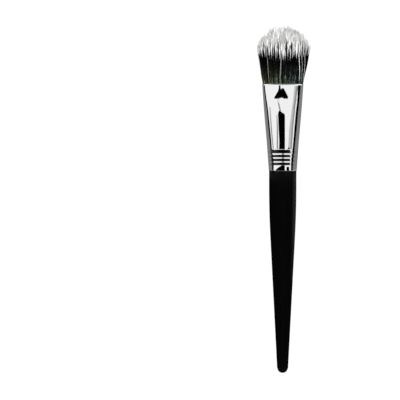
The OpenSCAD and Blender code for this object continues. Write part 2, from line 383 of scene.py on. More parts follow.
def ferrule_rings():
    """The rings in their order round the wall, and the paste at each point."""
    rim_r = WALL / 2
    corners = [-CRIMP_HALF - SHADE_SPILL, -CRIMP_HALF, CRIMP_STEEP - CRIMP_HALF, 0, ON_SLOPE]
    corners += [CRIMP_HALF - SHOULDER, CRIMP_HALF, CRIMP_HALF + SHOULDER]
    crimped = np.unique((crimp_middles[:, None] + np.array(corners)).ravel().round(3))
    coarse = np.linspace(crimp_end + ABOVE_CRIMPS, FERRULE_LEN - rim_r, SMOOTH_RINGS)
    outside = np.concatenate([FOOT_RINGS, crimped, coarse])
    rings = [ferrule_ring(s, 0, crimp_cut(s)) for s in outside]
    for turn in np.linspace(0, math.pi, RIM_STEPS)[1:-1]:
        s = FERRULE_LEN - rim_r + rim_r * math.sin(turn)
        rings.append(ferrule_ring(s, rim_r * (1 - math.cos(turn)), 0))
    inside = np.concatenate([coarse[::-3], crimped[::-2], FOOT_RINGS[::-2]])
    rings += [ferrule_ring(s, WALL, crimp_cut(s)) for s in inside]
    for turn in np.linspace(0, math.pi, FOOT_STEPS)[1:-1]:
        s = rim_r - rim_r * math.sin(turn)
        rings.append(ferrule_ring(s, rim_r * (1 + math.cos(turn)), 0))
    groove_shade = np.zeros((len(rings), FERRULE_SIDES), np.float32)
    # painted shade: the grooves, and a little below them, are painted dark
    shaded_cut = np.maximum(crimp_cut(outside), crimp_cut(outside + SHADE_SPILL / 2))
    depth = shaded_cut[:, None] * jaw_press(-angles)
    groove_shade[: len(outside)] = np.clip(depth / crimp_depth * GROOVE_SHADE_GAIN - GROOVE_SHADE_START, 0, 1)
    return np.array(rings), groove_shade


rings, groove_shade = ferrule_rings()
ferrule = skin("chrome_ferrule", place(rings), looped=True)
number_points(ferrule, "groove_shade", groove_shade)
print("the ferrule has", len(rings), "rings of", FERRULE_SIDES, "points")

# %% [markdown]
# Chrome plate has no colour of its own: it shows the room. What tells a real plated tube from a
# perfect mirror is its unevenness. Long faint waves stay from the drawing of the tube, a soft haze
# from polishing changes the roughness, and a trace of grime the brightness. The grooves are painted
# dark, a painted shade, where the mesh's own numbers say so.

# %% Finish: chrome plate
def chrome_plate():
    finish = Finish("chrome_plate")
    haze = finish.noise(900.0, 4.0, finish.stretched((1.0, 0.12, 1.0)))
    waves = finish.noise(120.0, 2.0, finish.stretched((1.0, 0.35, 1.0)))
    grime = finish.noise(260.0, 3.0)
    plate = finish.blend(grime, (0.90, 0.90, 0.91), (0.97, 0.97, 0.975))
    return finish.surface(
        # painted shade: the crimp grooves turn dark
        Base_Color=finish.blend(finish.number("groove_shade"), plate, (0.05, 0.05, 0.052)),
        Metallic=1.0,
        Roughness=0.022 + haze * 0.03,
        Normal=finish.bump(waves, 0.00004),
    )


dress(ferrule, chrome_plate(), "chrome_plate", "ferrule")

# %% [markdown]
# The handle is turned from one piece of wood, so it is a lathe shape: a profile spun about
# the brush's middle. Inside the ferrule the same piece goes on as the tenon, with the grooves that
# the crimps pressed into it. The taper starts as a soft curve and ends in a rounded butt.

# %% The handle's profile
HANDLE_LEN, SWELL_LEN, BUTT_R, BUTT_LEN, BUTT_FULL = 105, 26, 2.95, 4.2, 0.86
HANDLE_SIDES, LAND_BEVEL = 144, 0.08
GROOVE_STEP, GRIP_START, GRIP_RINGS, BUTT_STEPS = 0.12, 0.6, 90, 20
taper_len = HANDLE_LEN - land_len - SWELL_LEN - BUTT_LEN
taper_slope = (land_r - BUTT_R) / (SWELL_LEN / 2 + taper_len)


def grip_r(d):
    """The grip's radius at d millimetres below the ferrule."""
    past = np.clip(d - land_len, 0, None)
    in_swell = taper_slope * past**2 / (2 * SWELL_LEN)
    below = taper_slope * (past - SWELL_LEN / 2)
    return land_r - np.where(past < SWELL_LEN, in_swell, below)


def handle_profile():
    """Pairs (s, radius), from the tenon's end to the butt."""
    tenon_r = float(collar_out(COLLAR_LEN)) - WALL - CLEARANCE
    profile = [(TENON_LEN, tenon_r - TENON_BEVEL), (TENON_LEN - TENON_BEVEL, tenon_r)]
    for s in np.arange(COLLAR_LEN, -0.01, -GROOVE_STEP):
        grooved = collar_out(s) - WALL - CLEARANCE - float(crimp_cut(s))
        profile.append((s, min(grooved, tenon_r)))
    profile += [(0, land_r - LAND_BEVEL), (-LAND_BEVEL, land_r)]
    grip = np.linspace(GRIP_START, HANDLE_LEN - BUTT_LEN, GRIP_RINGS)
    profile += [(-d, float(grip_r(d))) for d in grip]
    for turn in np.linspace(0, math.pi / 2, BUTT_STEPS)[1:-1]:
        s = -(HANDLE_LEN - BUTT_LEN) - BUTT_LEN * math.sin(turn) ** BUTT_FULL
        profile.append((s, BUTT_R * math.cos(turn) ** BUTT_FULL))
    return np.array(profile)


def lathe(name, profile, sides):
    """A profile of pairs (s, radius) spun about the brush's middle."""
    turn = np.linspace(0, 2 * math.pi, sides, endpoint=False)
    s, radius = profile.T[:, :, None]
    rings = np.stack([radius * np.cos(turn), s + 0 * turn, radius * np.sin(turn)], 2)
    return skin(name, place(rings))


handle_corners = handle_profile()
handle = lathe("lacquered_handle", handle_corners, HANDLE_SIDES)
print("the handle's profile has", len(handle_corners), "corners")

# %% [markdown]
# The wood is sprayed with black lacquer and left satin. Under a lamp such a coat shows a fine
# orange-peel texture, so the bump is a small soft noise, and the roughness wanders with it.
# The gloss is weak: straight on the coat looks like pure black, and only its flanks shine.

# %% Finish: black lacquer
def black_lacquer():
    finish = Finish("black_lacquer")
    peel = finish.noise(1400.0, 2.0)
    cloud = finish.noise(90.0, 3.0, finish.stretched((1.0, 0.3, 1.0)))
    return finish.surface(
        Base_Color=finish.blend(cloud, (0.0004, 0.0004, 0.0004), (0.0012, 0.0011, 0.0011)),
        Roughness=0.22 + cloud * 0.10,
        Specular_IOR_Level=0.09,
        Normal=finish.bump(peel, 0.000006),
    )


dress(handle, black_lacquer(), "black_lacquer", "handle")

# %% [markdown]
# A plug of cast resin holds the roots inside the ferrule. Nobody sees it until a brush falls
# apart. The measured model's own mesh is right as it is, so it only gets a finish: amber resin
# with a few clouds in it.

# %% Finish: amber resin
def amber_resin():
    finish = Finish("amber_resin")
    cloud = finish.noise(300.0, 3.0)
    return finish.surface(
        Base_Color=finish.blend(cloud, (0.46, 0.30, 0.10), (0.66, 0.48, 0.20)),
        Roughness=0.18 + cloud * 0.2,
        Normal=finish.bump(cloud, 0.0001),
    )


plug = frame["nodes"]["resin_plug"]
plug.data.materials.clear()
plug.data.materials.append(amber_resin())
print(plug.name, triangles(plug), "triangles")

# %% [markdown]
# Now the tuft. Its envelope is a flare: at the mouth it is as wide as the ferrule's inside, and it
# opens to its full width over the first 17 mm or so. The tips make a dome. A hair stands somewhere
# in the section, and its seat is a point of the unit disc: the middle of the disc is the middle
# of the tuft and the disc's edge is its surface. The flare then carries each seat upward.
# The whole tuft leans half a millimetre to the right, as it does in the portrait.

# %% The tuft's envelope
TUFT_LEN, RIM_LEN, DOME_FULL, FLARE_LEN, FLARE_EARLY = 30, 18.5, 2.1, 17.5, 0.25
TUFT_HALF_W, TUFT_HALF_D = 13.6, 10.1
ROOT_HALF_W = MOUTH_HALF_W - WALL - CLEARANCE
ROOT_HALF_D = MOUTH_HALF_D - WALL - CLEARANCE
LEAN, LEAN_HIGH = 0.45, 11
rng = np.random.default_rng(11)


def flare(h):
    """How far the tuft has opened at height h: 0 at the mouth and 1 at its full width."""
    t = np.clip(h / FLARE_LEN, 0, 1)
    return t * (1 + FLARE_EARLY * (1 - t))


def dome(share):
    """How high the tips stand, for hair at this share of the way out."""
    share = np.clip(share, 0, 1)
    return RIM_LEN + (TUFT_LEN - RIM_LEN) * (1 - share**DOME_FULL) ** (1 / DOME_FULL)


def in_tuft(seat, h):
    """Brush places of disc seats (..., 2) carried to heights h above the mouth."""
    share = np.hypot(seat[..., 0], seat[..., 1])
    angle = np.arctan2(seat[..., 1], seat[..., 0])
    half_w = ROOT_HALF_W + (TUFT_HALF_W - ROOT_HALF_W) * flare(h)
    half_d = ROOT_HALF_D + (TUFT_HALF_D - ROOT_HALF_D) * flare(h)
    x, up = oval(share * half_w, share * half_d, MOUTH_SQUARE, angle)
    return np.stack([x + LEAN * smooth(h / LEAN_HIGH), FERRULE_LEN + h, up], -1)


def disc_seats(count, inner=0.0, outer=1.0):
    """Seats spread evenly over a ring of the disc."""
    share = np.sqrt(rng.uniform(inner**2, outer**2, count))
    angle = rng.uniform(0, 2 * math.pi, count)
    return np.stack([share * np.cos(angle), share * np.sin(angle)], 1)


print("the tuft opens from", round(2 * ROOT_HALF_W, 1), "to", 2 * TUFT_HALF_W, "mm")

# %% [markdown]
# A hair could be a curve with a bevel, but tens of thousands of curve objects are slow, and a mesh
# can carry its own colours. So all the hairs of a piece are made at once with arrays. A hair is a
# thin tube with three sides that ends in a point. Smooth shading makes three sides look round.
# Hairs stick together in locks: the higher up, the more a hair bends to its lock's middle.
# The lowest hairs would dip under the table, so they are laid on it.

# %% Helper: hairs as one mesh
HAIR_SIDES, SEARCH_BLOCK = 3, 2000


def nearest(seats, middles):
    """For each seat, the nearest lock's number."""
    found = np.empty(len(seats), int)
    for start in range(0, len(seats), SEARCH_BLOCK):
        block = seats[start : start + SEARCH_BLOCK]
        gaps = ((block[:, None] - middles[None]) ** 2).sum(2)
        found[start : start + SEARCH_BLOCK] = gaps.argmin(1)
    return found


def hair_mesh(name, lines, thickness, tones):
    """Tubes along lines (hair, ring, xyz) in brush millimetres, with a pointed last ring.

    thickness is (hair, ring) and tones is (hair, ring): how light the hair is there, 0 to 1."""
    hairs, rings = lines.shape[:2]
    side = np.arange(HAIR_SIDES)
    following = (side + 1) % HAIR_SIDES
    turn = rng.uniform(0, 2 * math.pi, (hairs, 1, 1)) + side * (2 * math.pi / HAIR_SIDES)
    reach = thickness[:, :-1, None] / 2
    body = np.repeat(lines[:, :-1, None, :], HAIR_SIDES, 2)
    body[..., 0] += reach * np.cos(turn)
    body[..., 2] += reach * np.sin(turn)
    points = np.concatenate([body.reshape(hairs, -1, 3), lines[:, -1:, :]], 1)
    per_hair = points.shape[1]
    base = np.arange(hairs)[:, None] * per_hair
    first = base[:, None] + np.arange(rings - 2)[:, None] * HAIR_SIDES
    above = first + HAIR_SIDES
    quads = np.stack([first + side, above + side, above + following, first + following], 3)
    top = base + (rings - 2) * HAIR_SIDES
    tip = np.broadcast_to(base + per_hair - 1, (hairs, HAIR_SIDES))
    cones = np.stack([top + side, tip, top + following], 2)
    places = place(points.reshape(-1, 3))
    places[:, 2] = np.maximum(places[:, 2], 0)
    faces = [quads.reshape(-1, 4), cones.reshape(-1, 3), base + side]
    piece = mesh_piece(name, places, faces)
    tone = np.concatenate([np.repeat(tones[:, :-1], HAIR_SIDES, 1), tones[:, -1:]], 1)
    number_points(piece, "tone", tone)
    spread_map(piece, hairs, rings)
    return piece


def spread_map(piece, hairs, rings):
    """A flat map on which each hair has its own small cell, so that its colours can be baked."""
    per_row = math.ceil(math.sqrt(hairs))
    number = np.arange(hairs)
    corner = np.stack([number % per_row, number // per_row], 1)[:, None]
    edge, span = 0.1, 0.8
    high = span / (rings - 1)
    stops = edge + span * np.arange(HAIR_SIDES + 1) / HAIR_SIDES
    sides = list(zip(stops[:-1], stops[1:]))
    walls = []
    for ring in range(rings - 2):
        low, top = edge + high * ring, edge + high * (ring + 1)
        for left, right in sides:
            walls += [(left, low), (left, top), (right, top), (right, low)]
    low = edge + high * (rings - 2)
    cones = []
    for left, right in sides:
        cones += [(left, low), ((left + right) / 2, edge + span), (right, low)]
    root = [(edge, 0.02), (0.5, 0.08), (edge + span, 0.02)]
    parts = [(corner + np.array(block)[None]).reshape(-1, 2) for block in (walls, cones, root)]
    flat = np.concatenate(parts) / per_row
    layer = piece.data.uv_layers.new(name="OFBake")
    layer.uv.foreach_set("vector", flat.astype(np.float32).ravel())


# %% [markdown]
# The black hair is short. Some two fifths of it end evenly, about 16 mm above the mouth. The rest
# is gathered in locks that close up to narrow spikes, and these reach up to 9 mm further into
# the pale part. A closed spike is what a lock of straight hair makes when it is a little oily.
# At the left and right edges all of it ends lower, and a few stray hairs stand far out of the rest.
# Hair is only made where it can be seen, over a plain dark core.

# %% Helper: where hairs and locks stand
PUSHES, PUSH, LOCK_EDGE = 12, 0.15, 0.985
EDGE_FROM, EDGE_REACH = 0.86, 0.1


def spread_seats(count):
    """Seats of the disc, pushed apart a little so that they are even but not in rows."""
    middles = disc_seats(count)
    for _ in range(PUSHES):
        gap = middles[:, None] - middles[None]
        far = np.hypot(gap[..., 0], gap[..., 1]) + np.eye(count)
        push = (gap / far[..., None] ** 3).sum(1)
        push = push / (np.hypot(push[:, :1], push[:, 1:]) + 1e-9)
        middles = middles + push * PUSH / math.sqrt(count)
        share = np.hypot(middles[:, 0], middles[:, 1])[:, None]
        middles = middles / np.maximum(share / LOCK_EDGE, 1)
    return middles


def kept_inside(seat, limit):
    """Seats that have strayed out of the disc are brought back to its edge."""
    return seat * np.minimum(1, limit / np.hypot(seat[..., 0], seat[..., 1]))[..., None]


def at_edge(seat):
    """How far a seat is at the tuft's left or right edge."""
    return smooth((np.abs(seat[..., 0]) - EDGE_FROM) / EDGE_REACH)


def hair_thickness(thickest, spread, taper, late, share_up, count):
    """Millimetres at each ring of so many hairs, which thin out late toward the tip."""
    return thickest * rng.uniform(*spread, (count, 1)) * (1 - taper * share_up**late)


# %% The black hair
BLACK_THICK, BLACK_SPREAD, BLACK_TAPER, BLACK_LATE = 0.20, (0.75, 1.2), 0.6, 3
BLACK_RINGS, BLACK_SPACING, ROOT_DEPTH, BLACK_EDGE, JITTER = 6, 0.8, 1.5, 0.99, 0.008
BLACK_LOCKS, LOCKS_WITHIN, LOCK_LOW, LOCK_HIGH = 300, 0.93, 15.5, 21.0
EVEN_SHARE, EVEN_TOP, EVEN_STEP, EVEN_SPREAD, EVEN_CLOSED = 0.42, 16.0, 2.1, 1.5, 24.0
STRAYS, STRAY_LOW, STRAY_HIGH, EDGE_LOWER = 0.06, 17.0, 24.0, 3.4
SPIKES, SPIKE_SEAT, SPIKE_SHIFT, SPIKE_LOW, SPIKE_SPREAD = 70, 0.988, 0.45, 18.6, 6.5
SPIKE_FROM, SPIKE_FALL, SPIKE_CLOSED, CLOSING = 10.5, 5.0, 2.5, 0.96
SHEEN_STREAKS, SHEEN_FALL, FALL_LATE, OWN_GLOW, ROOT_GLOW, ROOT_HIGH = 3600, 4.3, 1.5, 0.3, 1.4, 3.5


def black_hair(name, count, inner, outer):
    """Black hairs whose seats lie in a ring of the disc."""
    seats = disc_seats(count, inner, outer)
    lock = nearest(seats, black_locks)
    even = rng.random(count) < EVEN_SHARE
    spike_top = black_tops[lock] - SPIKE_FALL * rng.beta(1.0, 3.0, count)
    even_top = EVEN_TOP + even_steps[lock] + rng.normal(0, EVEN_SPREAD, count)
    top = np.where(even, even_top, spike_top)
    stray = rng.random(count) < STRAYS
    top = np.where(stray, rng.uniform(STRAY_LOW, STRAY_HIGH, count), top)
    top = top - EDGE_LOWER * at_edge(seats)
    share_up = np.linspace(0, 1, BLACK_RINGS) ** BLACK_SPACING
    h = -ROOT_DEPTH + (top[:, None] + ROOT_DEPTH) * share_up
    closed_at = np.where(even, EVEN_CLOSED, black_tops[lock] - SPIKE_CLOSED)[:, None]
    closing = CLOSING * smooth((h - SPIKE_FROM) / (closed_at - SPIKE_FROM))
    seat = seats[:, None] + (black_locks[lock] - seats)[:, None] * closing[..., None]
    seat = seat + rng.normal(0, JITTER, (count, 1, 2)) * share_up[None, :, None]
    lines = in_tuft(kept_inside(seat, BLACK_EDGE), h)
    thick = hair_thickness(BLACK_THICK, BLACK_SPREAD, BLACK_TAPER, BLACK_LATE, share_up, count)
    # painted sheen: light streaks in the hair, strongest near the root
    glow = sheen_streak_tones[nearest(seats, sheen_streak_middles)] * (OWN_GLOW + rng.beta(0.6, 0.6, count))
    rootward = np.exp(-(np.clip(h, 0, None) ** FALL_LATE) / SHEEN_FALL**FALL_LATE)
    rootward = rootward * (1 + ROOT_GLOW - ROOT_GLOW * smooth(h / ROOT_HIGH))
    return hair_mesh(name, lines, thick, glow[:, None] * rootward)


# where the painted sheen's streaks lie, and how light each one is
sheen_streak_middles = disc_seats(SHEEN_STREAKS)
sheen_streak_tones = rng.beta(0.5, 1.1, SHEEN_STREAKS)
black_locks = spread_seats(BLACK_LOCKS) * LOCKS_WITHIN
black_tops = rng.uniform(LOCK_LOW, LOCK_HIGH, BLACK_LOCKS)
spike_turn = np.arange(SPIKES) + rng.uniform(-SPIKE_SHIFT, SPIKE_SHIFT, SPIKES)
spike_turn = spike_turn * (2 * math.pi / SPIKES)
spike_seats = SPIKE_SEAT * np.stack([np.cos(spike_turn), np.sin(spike_turn)], 1)
black_locks = np.concatenate([black_locks, spike_seats])
black_tops = np.concatenate([black_tops, SPIKE_LOW + SPIKE_SPREAD * rng.beta(1.2, 1.8, SPIKES)])
even_steps = rng.normal(0, EVEN_STEP, len(black_tops))
outer_black = black_hair("black_hair_outside", 6900, 0.80, 1.0)
inner_black = black_hair("black_hair_inside", 4200, 0.5, 0.82)
print("the black hair stands in", len(black_locks), "locks")

# %% [markdown]
# Black hair isn't simply black. Near the root thin streaks of a painted sheen show, light that the
# hairs catch painted into their colour: olive on one side of this tuft and a cold blue-green on the
# other, broken into short painted glints. Further up the hair is plain black, with a narrow sheen.

# %% Finish: black hair
def black_hair_finish():
    finish = Finish("black_hair")
    sideways = finish.node("ShaderNodeSeparateXYZ", {}, {0: finish.where()}, 0)
    glint_flecks = finish.noise(2300.0, 2.0, finish.stretched((1.0, 0.12, 1.0)))
    # painted sheen: olive on the left, blue-green on the right, in short glints
    sheen_colour = finish.blend(sideways * 60.0 + 0.5, (0.185, 0.210, 0.112), (0.120, 0.168, 0.164))
    painted_sheen = finish.number("tone") * (glint_flecks * 1.65) ** 5.0
    return finish.surface(
        Base_Color=finish.blend(painted_sheen, (0.0003, 0.0003, 0.0003), sheen_colour),
        Roughness=0.42,
        Specular_IOR_Level=0.12,
    )


black_hair_material = black_hair_finish()
dress(outer_black, black_hair_material, "dark_hair", "dark_hair")
dress(inner_black, black_hair_material, "dark_hair", "dark_hair")

# %% [markdown]
# A core stands for the hair in the middle that nobody sees, so that no light falls through the
# tuft. It is a skin over the envelope's own sections, drawn in to four fifths.

# %% The core of the tuft
CORE_SHARE, CORE_TOP, CORE_SIDES, CORE_RINGS = 0.78, 11.5, 72, 14
CORE_TAPER, TAPER_FROM, CORE_RAGGED = 0.12, 6, 0.02
NARROW_FURROWS, WIDE_FURROWS = 23, 9


def hair_core():
    """A lump with shallow furrows, a little narrower at its top."""
    turn = np.linspace(0, 2 * math.pi, CORE_SIDES, endpoint=False)
    rings = []
    for h in np.linspace(-ROOT_DEPTH, CORE_TOP, CORE_RINGS):
        share = CORE_SHARE * (1 - CORE_TAPER * smooth((h - TAPER_FROM) / (CORE_TOP - TAPER_FROM)))
        ragged = 1 + CORE_RAGGED * np.sin(turn * NARROW_FURROWS + h)
        ragged = ragged + CORE_RAGGED * np.sin(turn * WIDE_FURROWS - h)
        seat = np.stack([np.cos(-turn), np.sin(-turn)], 1) * (share * ragged)[:, None]
        rings.append(in_tuft(seat, np.full(CORE_SIDES, h)))
    return skin("hair_core", place(np.array(rings)))


def core_finish():
    finish = Finish("hair_core_black")
    grain = finish.noise(2500.0, 3.0, finish.stretched((1.0, 0.05, 1.0)))
    return finish.surface(
        Base_Color=finish.blend(grain, (0.0010, 0.0010, 0.0010), (0.008, 0.008, 0.007)),
        Roughness=0.6,
        Specular_IOR_Level=0.1,
        Normal=finish.bump(grain, 0.0002),
    )


dress(hair_core(), core_finish(), "dark_hair", "dark_hair")

# %% [markdown]
# The pale fibres are long, smooth and springy. They run from the resin to the dome, and the black
# hair hides their lower half, so most are only made from where they come into view. Fibres in the
# outer layers start a little under the black and swing out to the surface above it, and their
# tips gather in wisps. A few loners keep to themselves. The finish can't know any of this, so
# each fibre also gets its own lightness here.

# %% The pale fibres
PALE_THICK, PALE_SPREAD, PALE_TAPER, PALE_LATE = 0.27, (0.7, 1.15), 0.6, 2.5
PALE_RINGS, PALE_SPACING, PALE_JITTER, BENDS_LATE = 6, 0.9, 0.012, 1.5
PALE_UNDER, UNDER_REACH, UNDER_OUTSIDE, UNDER_SPAN, BARE_FROM = 0.075, 8, 0.7, 0.3, 9
PALE_WISPS, WISP_LOWER, WISP_RAGGED, WISP_FALL, WISP_CLOSED = 800, 0.8, 0.75, 4.0, 0.9
LONERS, LONER_RISE, LONER_RAGGED, LONER_CLOSED, LONER_LEAN, WISP_LEAN = 0.12, 0.2, 0.6, 0.1, 0.03, 0.03
INSIDE, OUTWARD, OUT_FROM, OUT_REACH, EDGE_SOONER = 0.962, 0.05, 15, 7, 9.0
DARKEST, WISP_LIGHT, OWN_LIGHT = 0.08, 0.72, 0.2
LOW_SHADE_FROM, LOW_SHADE_REACH, TIP_LEN, TIP_REACH = 11, 10, 5, 4


def pale_fibres(name, count, inner, outer, low, high):
    """Fibres whose seats lie in a ring of the disc and that come into view between two heights."""
    seats = disc_seats(count, inner, outer)
    wisp = nearest(seats, wisp_middles)
    wisp_top = wisp_tops[wisp][:, None]
    share = np.hypot(seats[:, 0], seats[:, 1])[:, None]
    loner = rng.random(count) < LONERS
    start = rng.uniform(low, high, count)
    top = wisp_tops[wisp] - WISP_FALL * rng.beta(1.0, 2.2, count)
    top = top + loner * rng.normal(LONER_RISE, LONER_RAGGED, count)
    share_up = np.linspace(0, 1, PALE_RINGS) ** PALE_SPACING
    h = start[:, None] + (top - start)[:, None] * share_up
    buried = PALE_UNDER * (1 - smooth((h - BARE_FROM) / UNDER_REACH))
    under = 1 - buried * smooth((share - UNDER_OUTSIDE) / UNDER_SPAN)
    closed = np.where(loner, LONER_CLOSED, WISP_CLOSED)[:, None]
    closing = closed * smooth((h - BARE_FROM) / (wisp_top - BARE_FROM - 1))
    seat = seats[:, None] + (wisp_middles[wisp] - seats)[:, None] * closing[..., None]
    stray = rng.normal(0, PALE_JITTER, (count, 1, 2))
    stray = stray + loner[:, None, None] * rng.normal(0, LONER_LEAN, (count, 1, 2))
    stray = stray + rng.normal(0, WISP_LEAN, (PALE_WISPS, 2))[wisp][:, None]
    seat = seat * under[..., None] + stray * share_up[None, :, None] ** BENDS_LATE
    sooner = EDGE_SOONER * at_edge(seats)[:, None]
    limit = INSIDE + OUTWARD * smooth((h - OUT_FROM + sooner) / OUT_REACH)
    lines = in_tuft(kept_inside(seat, limit), h)
    thick = hair_thickness(PALE_THICK, PALE_SPREAD, PALE_TAPER, PALE_LATE, share_up, count)
    light = DARKEST + WISP_LIGHT * wisp_tones[wisp] + OWN_LIGHT * rng.beta(0.7, 0.6, count)
    # painted shade: greyer low down among the black hair, and greyer at the tips
    low_shade = wisp_low_shades[wisp][:, None] * (1 - smooth((h - LOW_SHADE_FROM) / LOW_SHADE_REACH))
    tip_shade = wisp_tip_shades[wisp][:, None] * smooth((h - wisp_top + TIP_LEN) / TIP_REACH)
    return hair_mesh(name, lines, thick, light[:, None] * (1 - low_shade) * (1 - tip_shade))


wisp_middles = spread_seats(PALE_WISPS)
wisp_share = np.hypot(wisp_middles[:, 0], wisp_middles[:, 1])
wisp_tops = dome(wisp_share) - WISP_LOWER * (1 + wisp_share**2)
wisp_tops = wisp_tops + rng.normal(0.0, WISP_RAGGED, PALE_WISPS)
wisp_tones = rng.beta(1.0, 0.7, PALE_WISPS)
# how much painted shade each wisp gets, low down and at its tip
wisp_low_shades = rng.uniform(0.3, 1.15, PALE_WISPS).clip(0, 1)
wisp_tip_shades = rng.uniform(0.1, 0.7, PALE_WISPS)
outer_pale = pale_fibres("pale_fibres_outside", 4600, 0.80, 1.0, 8.5, 15.5)
middle_pale = pale_fibres("pale_fibres_middle", 5200, 0.50, 0.82, 10.0, 16.0)
core_pale = pale_fibres("pale_fibres_core", 3800, 0.0, 0.54, 10.0, 14.0)
print("the pale fibres gather in", PALE_WISPS, "wisps")

# %% [markdown]
# A long bundle is a few fibres that run together over the surface of the tuft, all the way from
# the mouth. Five of them lie on the upper side as in the portrait, and a dozen on the far side.

# %% Long bundles on the surface
BUNDLE_THICK, BUNDLE_SPREAD, BUNDLE_TAPER, BUNDLE_LATE = 0.17, (0.8, 1.1), 0.5, 2
BUNDLE_RINGS, BENT_AT, BUNDLE_SIDE, BUNDLE_RIM = 10, 15, 0.98, 0.95
BACK_BUNDLES, BACK_FIBRES, BACK_FROM, BACK_TO = 12, 3, math.pi * 1.05, math.pi * 1.95
BACK_LEAN, FIBRE_DRIFT, ON_TOP, GREY_ROOT, GREY_LEN = 0.04, 0.006, 0.022, 0.35, 12
upper_bundles = [
    # x at the mouth, x at BENT_AT, fibres, how light
    (-7.0, -8.3, 2, 0.18),
    (-1.7, -1.2, 2, 0.25),
    (8.15, 7.95, 5, 1.0),
    (9.2, 9.5, 1, 0.35),
    (9.95, 11.1, 3, 0.6),
]


def seat_angle(x, half_w):
    """The disc angle of the upper surface's point at x."""
    return math.acos(np.sign(x) * min(1, abs(x) / half_w) ** (MOUTH_SQUARE / 2))


def long_bundles():
    """The bundles' fibres, which keep to the surface of the tuft."""
    paths = []
    for x0, x1, fibres, light in upper_bundles:
        ends = seat_angle(x0, ROOT_HALF_W), seat_angle(x1 - LEAN, TUFT_HALF_W * BUNDLE_SIDE)
        paths.append((*ends, light, fibres))
    for angle in rng.uniform(BACK_FROM, BACK_TO, BACK_BUNDLES):
        ends = angle, angle + rng.normal(0, BACK_LEAN)
        paths.append((*ends, rng.uniform(0.3, 0.9), BACK_FIBRES))
    root, high, light = np.concatenate([[path[:3]] * path[3] for path in paths]).T
    count = len(root)
    share_up = np.linspace(0, 1, BUNDLE_RINGS)
    top = dome(BUNDLE_RIM) + rng.uniform(-2.5, 1.5, count)
    h = -ROOT_DEPTH + (top + ROOT_DEPTH)[:, None] * share_up
    bend = np.clip(flare(h) / flare(BENT_AT), 0, 1)
    drift = rng.normal(0, FIBRE_DRIFT, (count, 1)) * (0.4 + share_up)
    angle = root[:, None] + (high - root)[:, None] * bend + drift
    share = rng.uniform(0.99, 1.0, (count, 1)) + ON_TOP * smooth(h / 2)
    seat = np.stack([share * np.cos(angle), share * np.sin(angle)], 2)
    lines = in_tuft(seat, h)
    thick = hair_thickness(BUNDLE_THICK, BUNDLE_SPREAD, BUNDLE_TAPER, BUNDLE_LATE, share_up, count)
    tone = light[:, None] * rng.uniform(0.8, 1.0, (count, 1))
    # painted shade: the bundles are greyer toward the mouth, among the black hair
    tone = tone * (GREY_ROOT + (1 - GREY_ROOT) * smooth(h / GREY_LEN))
    return hair_mesh("pale_bundles", lines, thick, tone)


bundles = long_bundles()

# %% [markdown]
# The fibres are warm white. Each has its own lightness. Near the black they are painted greyer, a
# painted shade, and the tips are painted greyer as well, more in some wisps than in others. All of
# that is in the mesh's own numbers, so the finish only turns them into a colour.

# %% Finish: pale fibre
def pale_fibre_finish():
    finish = Finish("pale_fibre")
    return finish.surface(
        # the tone carries each fibre's own lightness together with its painted shade
        Base_Color=finish.blend(finish.number("tone"), (0.20, 0.205, 0.215), (0.985, 0.98, 0.95)),
        Roughness=0.38,
        Specular_IOR_Level=0.3,
    )


pale_material = pale_fibre_finish()
for fibres in (outer_pale, middle_pale, core_pale, bundles):
    dress(fibres, pale_material, "pale_fibre", "pale_fibres")

# %% [markdown]
# The camera looks straight down from two metres, as over a light table. The lens is long, so there
# is hardly any perspective. The picture is 400 pixels wide, and the brush stands right of
# its middle, with its tips at the top.

# %% The camera
PICTURE_PX, SENSOR_MM = 400, 36
AXIS_PX, TIPS_PX, BUTT_PX = 282.8, 25.95, 373.25
CAMERA_HIGH, LOOK_HIGH = 2.0, 0.009
brush_len = measured_box[1][1] - measured_box[0][1]
metres_per_px = brush_len / (BUTT_PX - TIPS_PX)
middle_px = (TIPS_PX + BUTT_PX) / 2

eye = bpy.data.cameras.new("eye")
eye.sensor_width = SENSOR_MM
eye.lens = SENSOR_MM * CAMERA_HIGH / (PICTURE_PX * metres_per_px)
camera = bpy.data.objects.new("camera", eye)
camera.location = (
    (PICTURE_PX / 2 - AXIS_PX) * metres_per_px,
    (middle_px - PICTURE_PX / 2) * metres_per_px,
    CAMERA_HIGH + LOOK_HIGH,
)
bpy.context.scene.collection.objects.link(camera)
bpy.context.scene.camera = camera
bpy.context.scene.view_settings.view_transform = "Standard"
print("one pixel is", round(metres_per_px / MM, 4), "mm, the lens is", round(eye.lens), "mm")

# %% [markdown]
# The floor is a plain white table that glows a little, like a light table, which keeps shadows
# faint. It gives its light to the brush but isn't seen in the chrome: for mirrors, a
# photographer builds the surroundings out of cards, and so does this scene below.

# %% The floor and the room
FLOOR_HALF, FLOOR_GLOW, FLOOR_WHITE = 3.0, 0.96, 0.05


def stage_finish(name, glow, white=0.0):
    """A matt card that gives off grey light of this strength."""
    finish = Finish(name)
    return finish.surface(
        Base_Color=(white, white, white),
        Roughness=0.9,
        Specular_IOR_Level=0.0,
        Emission_Color=(1.0, 1.0, 1.0),
        Emission_Strength=glow,
    )


def stage_piece(name, points, faces, material):
    """A part of the stage: it isn't part of the brush."""
    made = mesh_piece(name, points, [np.array(faces)])
    made.data.materials.append(material)
    return made


corners = ((-1, -1), (1, -1), (1, 1), (-1, 1))
floor_points = [(x * FLOOR_HALF, y * FLOOR_HALF, 0) for x, y in corners]
light_table = stage_finish("light_table", FLOOR_GLOW, FLOOR_WHITE)
floor = stage_piece("floor", floor_points, [(0, 1, 2, 3)], light_table)
floor.visible_glossy = False

world = bpy.data.worlds.new("room")
world.use_nodes = True
world.node_tree.nodes["Background"].inputs["Color"].default_value = (0.018, 0.018, 0.02, 1)
bpy.context.scene.world = world
print("the floor is", 2 * FLOOR_HALF, "m wide")

